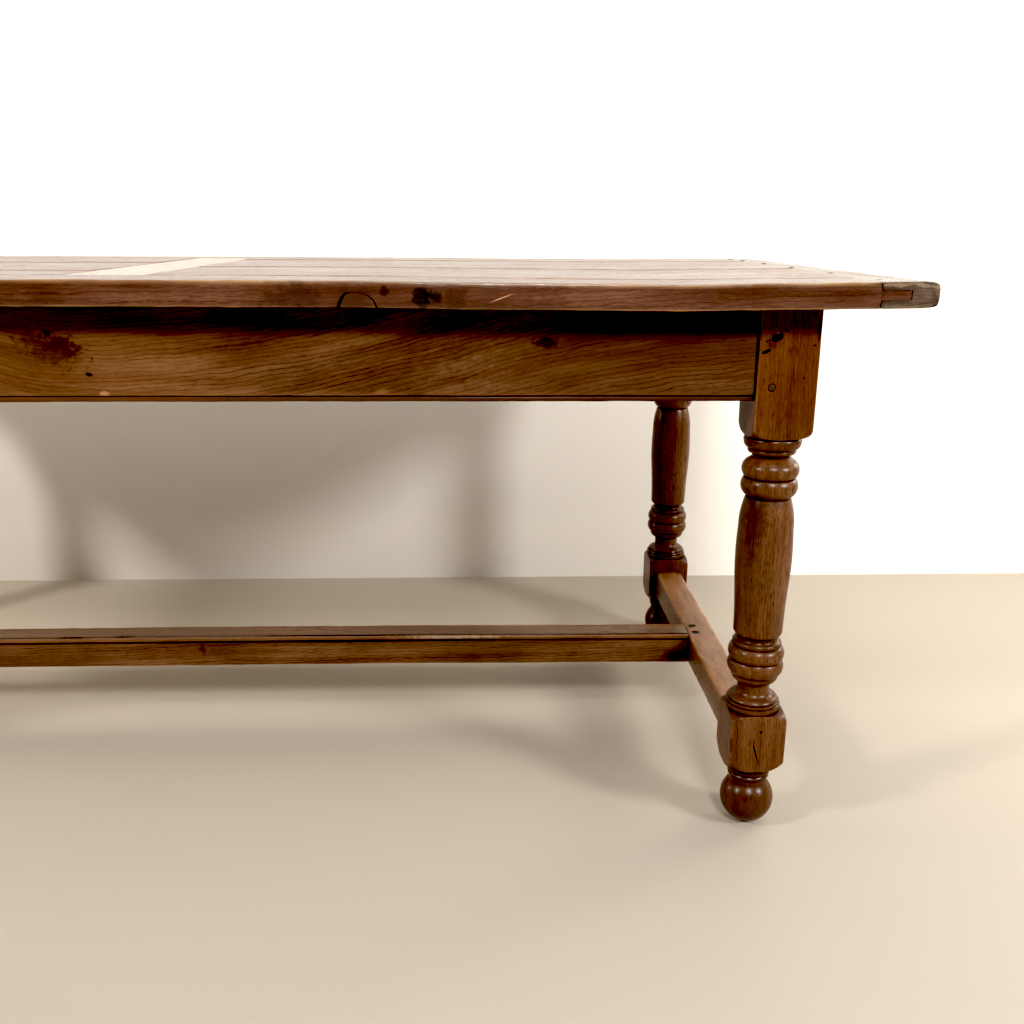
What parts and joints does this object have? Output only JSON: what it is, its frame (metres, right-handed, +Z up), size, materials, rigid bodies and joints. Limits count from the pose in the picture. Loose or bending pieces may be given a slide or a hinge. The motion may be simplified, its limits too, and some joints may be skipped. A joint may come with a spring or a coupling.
{
  "type": "refectory table",
  "caption": "Long oak dining table with a plank top clamped at both ends, deep aprons, turned baluster legs on ball feet and a low H stretcher, pegged throughout.",
  "frame": {"origin": "on the floor under the middle of the top", "axes": "+X along the table's length, +Y from the front to the back, +Z up"},
  "size_m": [1.996, 0.824, 0.76],
  "materials": {
    "frame_oak": "waxed satin",
    "top_oak": "worn polish",
    "cross_board_oak": "worn polish",
    "cleat_oak": "worn polish",
    "peg_oak": "waxed satin",
    "hidden_oak": "dry",
    "screw_iron": "dull"
  },
  "bodies": {
    "root": {"apron_back": "frame_oak", "apron_front": "frame_oak", "apron_left": "frame_oak", "apron_right": "frame_oak", "button_screws": "screw_iron", "cleat_pegs_left": "peg_oak", "cleat_pegs_right": "peg_oak", "joint_pegs_back_left": "peg_oak", "joint_pegs_back_right": "peg_oak", "joint_pegs_front_left": "peg_oak", "joint_pegs_front_right": "peg_oak", "leg_back_left": "frame_oak", "leg_back_right": "frame_oak", "leg_front_left": "frame_oak", "leg_front_right": "frame_oak", "stretcher_centre": "frame_oak", "stretcher_left": "frame_oak", "stretcher_pegs_left": "peg_oak", "stretcher_pegs_right": "peg_oak", "stretcher_right": "frame_oak", "top_bearer": "hidden_oak", "top_border_back": "top_oak", "top_border_front": "top_oak", "top_buttons": "hidden_oak", "top_cleat_left": "cleat_oak", "top_cleat_right": "cleat_oak", "top_cross_board": "cross_board_oak", "top_plank_left_1": "top_oak", "top_plank_left_2": "top_oak", "top_plank_left_3": "top_oak", "top_plank_left_4": "top_oak", "top_plank_right_1": "top_oak", "top_plank_right_2": "top_oak", "top_plank_right_3": "top_oak", "top_plank_right_4": "top_oak"}
  },
  "joints": []
}
